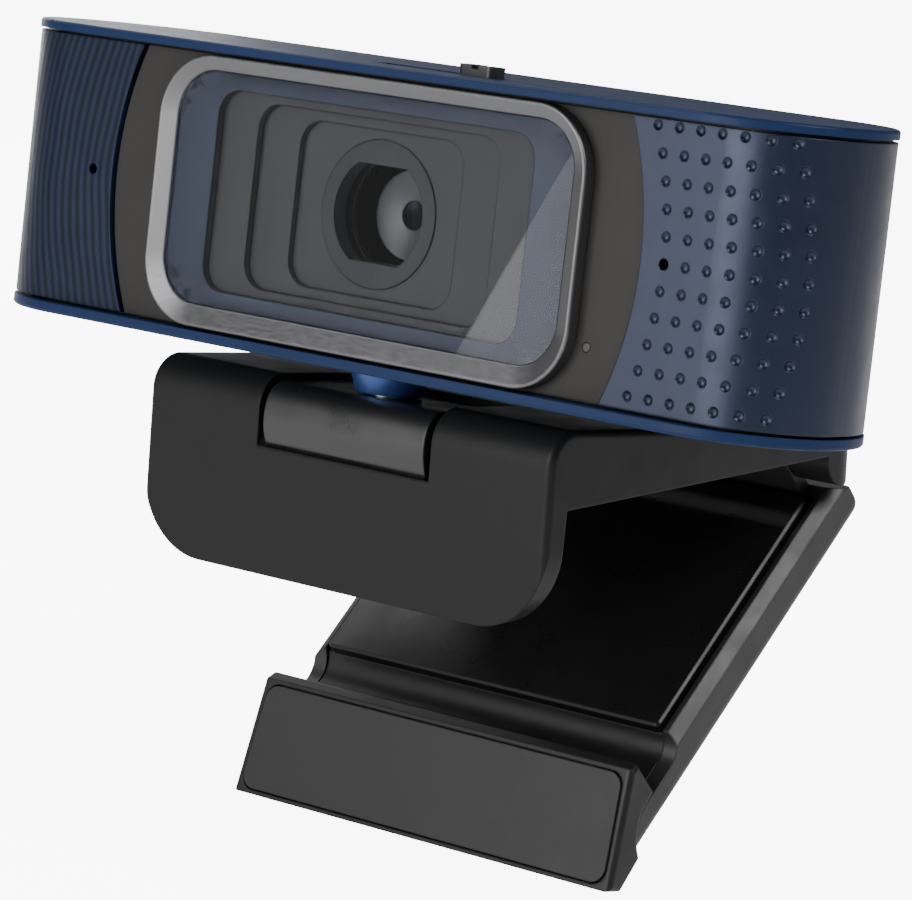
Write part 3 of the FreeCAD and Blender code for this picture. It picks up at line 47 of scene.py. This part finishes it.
# ------------------------------------------------------------------------------ user settings
class ShellSettings(bpy.types.PropertyGroup):
    """Colours of the camera head."""

    blue: bpy.props.FloatVectorProperty(
        name="Shell blue", description="Colour of the end shells and the rear cover",
        default=(0.0060, 0.0110, 0.0290), subtype="COLOR", min=0, max=1)
    cap_blue: bpy.props.FloatVectorProperty(
        name="Cap blue", description="Colour of the top cap, the bottom cap and the neck",
        default=(0.007, 0.017, 0.052), subtype="COLOR", min=0, max=1)
    panel: bpy.props.FloatVectorProperty(
        name="Panel grey", description="Colour of the centre panel",
        default=(0.026, 0.025, 0.024), subtype="COLOR", min=0, max=1)
    bezel: bpy.props.FloatVectorProperty(
        name="Bezel", description="Colour of the raised frame round the window",
        default=(0.12, 0.12, 0.124), subtype="COLOR", min=0, max=1)
    edge_round: bpy.props.FloatProperty(
        name="Edge softness", description="How far moulded edges look rounded",
        default=0.00022, unit="LENGTH", min=0)


class WindowSettings(bpy.types.PropertyGroup):
    """Colours behind the front glass."""

    mask: bpy.props.FloatVectorProperty(
        name="Window border", description="Colour printed round the edge of the glass",
        default=(0.0160, 0.0290, 0.0680), subtype="COLOR", min=0, max=1)
    terrace: bpy.props.FloatVectorProperty(
        name="Terraces", description="Colour of the stepped surround",
        default=(0.0500, 0.0500, 0.0510), subtype="COLOR", min=0, max=1)


class ClipSettings(bpy.types.PropertyGroup):
    """Colours of the clip and the leg."""

    clip: bpy.props.FloatVectorProperty(
        name="Clip", description="Colour of the clip and the tilt block",
        default=(0.0075, 0.0077, 0.0080), subtype="COLOR", min=0, max=1)
    leg: bpy.props.FloatVectorProperty(
        name="Leg", description="Colour of the leg's shell",
        default=(0.0130, 0.0130, 0.0133), subtype="COLOR", min=0, max=1)
    foot: bpy.props.FloatVectorProperty(
        name="Foot", description="Colour of the foot's face",
        default=(0.018, 0.018, 0.0185), subtype="COLOR", min=0, max=1)


class StudioSettings(bpy.types.PropertyGroup):
    """Camera and lights."""

    lens: bpy.props.FloatProperty(
        name="Lens", description="Focal length of the camera", default=184.98, subtype="NONE",
        min=10)
    key: bpy.props.FloatProperty(
        name="Key light", description="Power of the large light in front", default=3.4, min=0)
    card: bpy.props.FloatProperty(
        name="Card", description="Power of the small card that shows in the front glass",
        default=0.075, min=0)
    fill: bpy.props.FloatProperty(
        name="Fill light", description="Power of the rim light; the strips take a share of it",
        default=0.9, min=0)


# ---------------------------------------------------------------------------------- fixed values
# colours
INNER_BLACK = (0.006, 0.006, 0.007)
SLIDER_BLACK = (0.010, 0.010, 0.011)
STATUS_BLACK = (0.0015, 0.0015, 0.0015)
WINDOW_GLASS = (0.93, 0.95, 0.98)
LENS_GLASS = (0.80, 0.82, 0.95)
HOOD_GREY = (0.040, 0.041, 0.043)
RETAINER_GREY = (0.045, 0.045, 0.048)
# black plastic, made darker still as painted shade for the dark space inside the lens opening
BARREL_BLACK_AND_PAINTED_SHADE = (0.0003, 0.0003, 0.0004)
SENSOR_DARK = (0.01, 0.01, 0.02)
RUBBER_BLACK = (0.012, 0.012, 0.012)
LEG_BLACK = (0.006, 0.006, 0.0062)
PAD_BLACK = (0.0055, 0.0055, 0.0057)
STEEL = (0.55, 0.55, 0.57)
BRASS = (0.60, 0.44, 0.20)
BOARD_GREEN = (0.008, 0.06, 0.025)
WHITE = (1, 1, 1, 1)

# how far a moulded colour strays each way, and the height of the flutes' middle
MOTTLE = 0.07
FLUTE_MIDDLE_HEIGHT = 0.0255

# camera
CAMERA_PLACE = (0.292637, -0.355791, 0.090918)
CAMERA_RIGHT = (0.761266, 0.647067, 0.042163)
CAMERA_UP = (-0.157635, 0.121600, 0.979982)

# floor and world: size, gap under the model, strength as a light and to the camera
FLOOR_HALF_SIDE = 3.0
FLOOR_DROP = 0.0005
FLOOR_GLOW = 0.35
WORLD_GLOW = 0.22
BACKDROP_TO_CAMERA = 8.0

# card: its size, its directions and the middle of its straight edge
CARD_WIDTH = 0.08
CARD_LENGTH = 0.18
CARD_ALONG = (0.310, -0.156, 0.938)
CARD_BACK = (-0.58, -0.81, 0.06)
CARD_EDGE = (-0.3198, -0.4454, 0.0325)
LIGHTS_AIM = (0, 0, 0.02)


# ------------------------------------------------------------------------------------ materials
class Finish:
    """A material built from shader nodes."""

    def __init__(self, name):
        self.material = bpy.data.materials.new(name)
        self.material.use_nodes = True
        self.tree = self.material.node_tree
        self.shader = self.tree.nodes["Principled BSDF"]
        place = self.tree.nodes.new("ShaderNodeTexCoord")
        self.place = place.outputs["Object"]

    def node(self, kind, inputs=(), **settings):
        """A new node with its settings, then its inputs: plain values or other sockets."""
        made = self.tree.nodes.new(kind)
        for key, value in settings.items():
            setattr(made, key, value)
        for key, value in dict(inputs).items():
            self.give(made, key, value)
        return made

    def give(self, made, key, value):
        if isinstance(value, bpy.types.NodeSocket):
            self.tree.links.new(value, made.inputs[key])
        else:
            made.inputs[key].default_value = value

    def set(self, **values):
        """Inputs of the main shader, with _ for each space in the name."""
        for key, value in values.items():
            self.give(self.shader, key.replace("_", " "), value)

    def scaled(self, scale, move=(0, 0, 0)):
        """The object's own coordinates, scaled and moved."""
        made = self.node("ShaderNodeMapping", {"Vector": self.place, "Scale": scale,
                                               "Location": move})
        return made.outputs["Vector"]

    def noise(self, scale, detail=3, rough=0.55, vector=None):
        made = self.node("ShaderNodeTexNoise", {"Vector": vector or self.place, "Scale": scale,
                                                "Detail": detail, "Roughness": rough})
        return made.outputs["Fac"]

    def ramp(self, factor, low, high, start=0.3, stop=0.7):
        """Goes from low to high while the factor goes from start to stop."""
        made = self.node("ShaderNodeMapRange", {"Value": factor, "From Min": start,
                                                "From Max": stop, "To Min": low, "To Max": high})
        return made.outputs["Result"]

    def mix(self, factor, first, second, blend_type="MIX"):
        """Two colours mixed; the Mix node's colour sockets have no names of their own."""
        made = self.node("ShaderNodeMix", {0: factor, 6: first, 7: second}, data_type="RGBA",
                         blend_type=blend_type)
        return made.outputs[2]

    def tint(self, factor, dark, light):
        return self.mix(factor, (*dark, 1), (*light, 1))

    def bump(self, height, distance, strength, normal):
        """A bump laid over another normal."""
        made = self.node("ShaderNodeBump", {"Height": height, "Distance": distance,
                                            "Strength": strength, "Normal": normal})
        return made.outputs["Normal"]

    def soft_edges(self, radius):
        """A normal that rounds off hard edges."""
        return self.node("ShaderNodeBevel", {"Radius": radius}, samples=4).outputs["Normal"]


def shade(colour, factor):
    return tuple(min(1.0, part * factor) for part in colour)


def moulded(name, colour, roughness, grain=0.000012, edge=0.0002, shine=0.5):
    """Moulded plastic: fine texture, slight colour and gloss variation, rounded edges."""
    finish = Finish(name)
    broad = finish.noise(60, 2)
    fine = finish.noise(2600, 2)
    base = finish.tint(broad, shade(colour, 1 - MOTTLE), shade(colour, 1 + MOTTLE))
    rough = finish.ramp(finish.noise(240, 4), roughness - 0.05, roughness + 0.06)
    finish.set(Base_Color=base, Roughness=rough, Specular_IOR_Level=shine)
    finish.set(Normal=finish.bump(fine, grain, 0.6, finish.soft_edges(edge)))
    return finish


def brushed(name, colour, roughness, direction, edge=0.0002):
    """Metal with a drawn grain along one direction."""
    finish = Finish(name)
    lines = finish.noise(700, 4, 0.6, finish.scaled(direction))
    base = finish.tint(lines, shade(colour, 0.88), shade(colour, 1.12))
    rough = finish.ramp(lines, roughness - 0.06, roughness + 0.08)
    finish.set(Base_Color=base, Metallic=0.85, Roughness=rough)
    finish.set(Normal=finish.bump(lines, 0.000004, 0.5, finish.soft_edges(edge)))
    return finish


def with_painted_edge_shade(name, colour, roughness, radius):
    """Moulded plastic with painted shade: dark lines where two faces meet, standing in for the
    shade on the step walls.
    """
    finish = moulded(name, colour, roughness, edge=0.0001, shine=0.2)
    face = finish.node("ShaderNodeNewGeometry").outputs["True Normal"]
    sameness = finish.node("ShaderNodeVectorMath", {0: face, 1: finish.soft_edges(radius)},
                           operation="DOT_PRODUCT").outputs["Value"]
    clean = finish.shader.inputs["Base Color"].links[0].from_socket
    away_from_edge = finish.ramp(sameness, 0.0, 1.0, 0.93, 0.995)
    # painted shade: the colour goes near black along the edges, in place of the shade on the
    # step walls
    finish.set(Base_Color=finish.mix(away_from_edge, (*shade(colour, 0.05), 1), clean))
    return finish


def painted_blue(name, colour, roughness, edge, specular=0.5, metal=0.55, fluted=False):
    """Blue metallic paint: fine flake, slight orange peel and soft edges."""
    finish = Finish(name)
    flake = finish.node("ShaderNodeTexVoronoi", {"Vector": finish.place, "Scale": 9000.0})
    base = finish.tint(finish.noise(45, 2), shade(colour, 0.86), shade(colour, 1.14))
    sparkle = finish.tint(finish.ramp(flake.outputs["Distance"], 1.0, 0.0, 0.0, 0.5),
                          (0, 0, 0), shade(colour, 1.3))
    paint = finish.mix(0.35, base, sparkle, "ADD")
    rough = finish.ramp(finish.noise(400, 3), roughness - 0.04, roughness + 0.05)
    normal = finish.bump(finish.noise(1500, 2), 0.000006, 0.5, finish.soft_edges(edge))
    if fluted:
        paint, normal = add_flutes(finish, paint, normal)
    finish.set(Base_Color=paint, Metallic=metal, Roughness=rough, Specular_IOR_Level=specular,
               Coat_Weight=0.1, Coat_Roughness=0.3, Normal=normal)
    return finish


def add_flutes(finish, paint, normal):
    """Wavy streaks in rings about the middle of the head, in colour and in a shallow bump."""
    wave = finish.node("ShaderNodeTexWave", {
        "Vector": finish.scaled((1, 0, 1), move=(0, 0, -FLUTE_MIDDLE_HEIGHT)), "Scale": 330.0,
        "Distortion": 14.0, "Detail": 2.0, "Detail Scale": 0.12},
        wave_type="RINGS", rings_direction="SPHERICAL").outputs["Fac"]
    streaked = finish.node("ShaderNodeVectorMath",
                           {0: paint, 3: finish.ramp(wave, 0.35, 1.2, 0.1, 0.9)},
                           operation="SCALE").outputs["Vector"]
    return streaked, finish.bump(wave, 0.00003, 0.4, normal)


def clear_glass(name, colour, roughness, shine=0.5):
    """Clear glass with a trace of smear."""
    finish = Finish(name)
    smear = finish.ramp(finish.noise(35, 3), roughness, roughness + 0.004)
    finish.set(Base_Color=(*colour, 1), Roughness=smear, IOR=1.45, Transmission_Weight=1.0,
               Specular_IOR_Level=shine)
    return finish


def dress(finish, *nodes):
    """Give CAD nodes a finish in place of their plain one."""
    for node in nodes:
        slots = NODES[node].material_slots
        if not len(slots):
            raise RuntimeError("%s has no material slot" % node)
        for slot in slots:
            slot.material = finish.material


# ------------------------------------------------------------------------------------ operators
class FinishShells(bpy.types.Operator):
    """Blue painted end shells, rear cover, caps and neck."""

    bl_idname = "webcam.finish_shells"
    bl_label = "Finish the shells"

    def execute(self, context):
        shell = context.scene.webcam_shell
        blue, cap_blue, edge = tuple(shell.blue), tuple(shell.cap_blue), shell.edge_round
        dress(painted_blue("blue_paint", blue, 0.36, edge), "right_wing", "rear_cover")
        dress(painted_blue("blue_fluted", blue, 0.4, edge, specular=0.15, metal=0.25,
                           fluted=True), "left_wing")
        dress(painted_blue("blue_caps", cap_blue, 0.45, edge, specular=0.05, metal=0.05),
              "top_cap", "bottom_cap")
        # painted highlight: the neck takes the cap blue four times lighter, in place of the
        # bright highlight on it
        dress(painted_blue("blue_neck_painted_highlight", shade(cap_blue, 4.0), 0.3, edge), "neck_collar")
        return {"FINISHED"}


class FinishPanel(bpy.types.Operator):
    """Grey centre panel, metal bezel, dark inner frame."""

    bl_idname = "webcam.finish_panel"
    bl_label = "Finish the centre panel"

    def execute(self, context):
        shell = context.scene.webcam_shell
        dress(moulded("panel_grey", tuple(shell.panel), 0.42, edge=0.0001, shine=0.1),
              "front_panel")
        dress(brushed("bezel_metal", tuple(shell.bezel), 0.34, (1, 1, 6), 0.0003), "bezel")
        dress(moulded("inner_black", INNER_BLACK, 0.5), "chassis", "shutter_rail",
              "left_microphone_boot", "right_microphone_boot", "cable_gland")
        dress(moulded("slider_black", SLIDER_BLACK, 0.28), "shutter_knob", "shutter_blade")
        dress(moulded("status_light", STATUS_BLACK, 0.25), "status_light")
        return {"FINISHED"}


class FinishWindow(bpy.types.Operator):
    """Front glass, printed border, terraces and lens."""

    bl_idname = "webcam.finish_window"
    bl_label = "Finish the window and lens"

    def execute(self, context):
        window = context.scene.webcam_window
        dress(clear_glass("front_glass", WINDOW_GLASS, 0.0, 0.2), "front_glass")
        dress(clear_glass("lens_glass", LENS_GLASS, 0.0), "front_lens", "rear_lens",
              "infrared_filter")
        dress(moulded("window_border", tuple(window.mask), 0.35), "window_mask")
        # the terraces and the hood get painted shade along their step edges
        dress(with_painted_edge_shade("terrace_grey", tuple(window.terrace), 0.42, 0.00025), "lens_surround")
        dress(with_painted_edge_shade("hood_grey", HOOD_GREY, 0.4, 0.0002), "lens_hood")
        dress(moulded("lens_grey", RETAINER_GREY, 0.35), "lens_retainer")
        # black barrel and holder, darkened further and without shine as painted shade inside the
        # lens opening
        dress(moulded("lens_black_painted_shade", BARREL_BLACK_AND_PAINTED_SHADE, 0.7, shine=0.0), "lens_barrel",
              "lens_holder")
        dress(moulded("sensor_dark", SENSOR_DARK, 0.15), "image_sensor")
        return {"FINISHED"}


class FinishClip(bpy.types.Operator):
    """Charcoal clip, tilt block, seat and lip pads."""

    bl_idname = "webcam.finish_clip"
    bl_label = "Finish the clip"

    def execute(self, context):
        charcoal = tuple(context.scene.webcam_clip.clip)
        dress(moulded("clip_charcoal", charcoal, 0.38, edge=0.0003, shine=0.14),
              "clip_plate", "seat_cover")
        dress(moulded("block_charcoal", charcoal, 0.3, edge=0.0003), "tilt_block")
        dress(moulded("pad_rubber", RUBBER_BLACK, 0.7, grain=0.00003), "seat_pad", "lip_pad")
        return {"FINISHED"}


class FinishLeg(bpy.types.Operator):
    """The leg's shell, inner frame, smooth pad and foot."""

    bl_idname = "webcam.finish_leg"
    bl_label = "Finish the leg"

    def execute(self, context):
        clip = context.scene.webcam_clip
        dress(moulded("leg_grey", tuple(clip.leg), 0.4, edge=0.0003, shine=0.35), "leg_shell")
        dress(moulded("leg_black", LEG_BLACK, 0.42, edge=0.0003, shine=0.25), "leg_core")
        dress(moulded("pad_gloss", PAD_BLACK, 0.3, grain=0.000004, shine=0.2), "leg_pad")
        dress(moulded("foot_face", tuple(clip.foot), 0.45, shine=0.22), "foot_pad")
        return {"FINISHED"}


class FinishMetal(bpy.types.Operator):
    """Pins, screws, bushes, the camera-screw insert and the electronics."""

    bl_idname = "webcam.finish_metal"
    bl_label = "Finish the metal parts"

    def execute(self, context):
        steel = brushed("plain_steel", STEEL, 0.3, (1, 1, 4))
        dress(steel, "tilt_pin", "hinge_pin", "swivel_post", "swivel_nut", "swivel_washer",
              "tilt_washers", "cover_screws", "leg_screws", "board_screws", "hinge_bushes",
              "left_microphone", "right_microphone", "cable_socket")
        dress(brushed("insert_brass", BRASS, 0.3, (1, 1, 4)), "tripod_nut")
        dress(moulded("board_green", BOARD_GREEN, 0.35), "main_board")
        return {"FINISHED"}


# ---------------------------------------------------------------------------------------- stage
class BuildStage(bpy.types.Operator):
    """Pale floor, soft lights and the camera."""

    bl_idname = "webcam.build_stage"
    bl_label = "Build the studio"

    def execute(self, context):
        studio = context.scene.webcam_studio
        make_floor()
        make_world()
        add_light("key", azimuth=-13, height=16, distance=0.55, size=0.38, power=studio.key)
        add_card("card", studio.card)
        add_light("rim", azimuth=-118, height=12, distance=0.5, size=0.3, power=studio.fill)
        add_light("strip_right", azimuth=85, height=44, distance=0.5, size=0.22,
                  power=studio.fill * 2.4)
        add_light("strip_left", azimuth=-82, height=50, distance=0.5, size=0.2,
                  power=studio.fill * 0.9)
        make_camera(studio.lens)
        return {"FINISHED"}


def make_floor():
    mesh = bmesh.new()
    bmesh.ops.create_grid(mesh, x_segments=1, y_segments=1, size=FLOOR_HALF_SIDE)
    low = CAD_BOX[0][2] - FLOOR_DROP
    bmesh.ops.translate(mesh, verts=mesh.verts, vec=(0, 0, low))
    data = bpy.data.meshes.new("floor")
    mesh.to_mesh(data)
    mesh.free()
    floor = bpy.data.objects.new("floor", data)
    bpy.context.scene.collection.objects.link(floor)
    finish = Finish("floor_white")
    path = finish.node("ShaderNodeLightPath")
    glow = finish.ramp(path.outputs["Is Camera Ray"], FLOOR_GLOW, BACKDROP_TO_CAMERA, 0, 1)
    white = finish.tint(finish.noise(3, 2), (0.90, 0.90, 0.90), (0.94, 0.94, 0.94))
    finish.set(Base_Color=white, Roughness=0.9, Emission_Color=WHITE, Emission_Strength=glow)
    floor.data.materials.append(finish.material)


def make_world():
    """A dim even light that looks white to the camera."""
    world = bpy.data.worlds.new("studio")
    world.use_nodes = True
    tree = world.node_tree
    shader = tree.nodes["Background"]
    shader.inputs["Color"].default_value = WHITE
    path = tree.nodes.new("ShaderNodeLightPath")
    level = tree.nodes.new("ShaderNodeMapRange")
    level.inputs["To Min"].default_value = WORLD_GLOW
    level.inputs["To Max"].default_value = BACKDROP_TO_CAMERA
    tree.links.new(path.outputs["Is Camera Ray"], level.inputs["Value"])
    tree.links.new(level.outputs["Result"], shader.inputs["Strength"])
    bpy.context.scene.world = world


def new_light(name, shape, size, power):
    data = bpy.data.lights.new(name, "AREA")
    data.shape = shape
    data.size = size
    data.energy = power
    light = bpy.data.objects.new(name, data)
    bpy.context.scene.collection.objects.link(light)
    return light


def add_light(name, azimuth, height, distance, size, power):
    """A square soft light aimed at the camera head; azimuth 0 is in front, positive right."""
    side, lift = math.radians(azimuth), math.radians(height)
    away = Vector((math.sin(side) * math.cos(lift), -math.cos(side) * math.cos(lift),
                   math.sin(lift)))
    light = new_light(name, "SQUARE", size, power)
    light.location = Vector(LIGHTS_AIM) + away * distance
    light.rotation_euler = away.to_track_quat("Z", "Y").to_euler()


def add_card(name, power):
    """A small slanted card whose straight edge shows as a slanting reflection in the glass."""
    along = Vector(CARD_ALONG).normalized()
    back = Vector(CARD_BACK).normalized()
    side = along.cross(back).normalized()
    light = new_light(name, "RECTANGLE", CARD_WIDTH, power)
    light.data.size_y = CARD_LENGTH
    turn = Matrix((side, along, back)).transposed()
    middle = Vector(CARD_EDGE) + side * (CARD_WIDTH / 2)
    light.matrix_world = Matrix.Translation(middle) @ turn.to_4x4()


def make_camera(lens):
    right, up = Vector(CAMERA_RIGHT), Vector(CAMERA_UP)
    data = bpy.data.cameras.new("camera")
    data.lens = lens
    data.sensor_width = 36
    data.clip_start = 0.01
    data.dof.use_dof = False
    camera = bpy.data.objects.new("camera", data)
    bpy.context.scene.collection.objects.link(camera)
    turn = Matrix((right, up, right.cross(up))).transposed()
    camera.matrix_world = Matrix.Translation(Vector(CAMERA_PLACE)) @ turn.to_4x4()
    bpy.context.scene.camera = camera


# ---------------------------------------------------------------------------------------- panel
class WebcamPanel(bpy.types.Panel):
    """Every step of the webcam's finish."""

    bl_idname = "VIEW3D_PT_webcam"
    bl_label = "Webcam"
    bl_space_type = "VIEW_3D"
    bl_region_type = "UI"
    bl_category = "Webcam"

    def draw(self, context):
        for operator in OPERATORS:
            self.layout.operator(operator.bl_idname)


OPERATORS = (FinishShells, FinishPanel, FinishWindow, FinishClip, FinishLeg, FinishMetal,
             BuildStage)
GROUPS = {"webcam_shell": ShellSettings, "webcam_window": WindowSettings,
          "webcam_clip": ClipSettings, "webcam_studio": StudioSettings}


def register():
    for kind in (*GROUPS.values(), *OPERATORS, WebcamPanel):
        bpy.utils.register_class(kind)
    for name, kind in GROUPS.items():
        setattr(bpy.types.Scene, name, bpy.props.PointerProperty(type=kind))


def unregister():
    for name in GROUPS:
        delattr(bpy.types.Scene, name)
    for kind in reversed((*GROUPS.values(), *OPERATORS, WebcamPanel)):
        bpy.utils.unregister_class(kind)


def main():
    register()
    for operator in OPERATORS:
        group, name = operator.bl_idname.split(".")
        getattr(getattr(bpy.ops, group), name)()


if __name__ == "__main__":
    main()
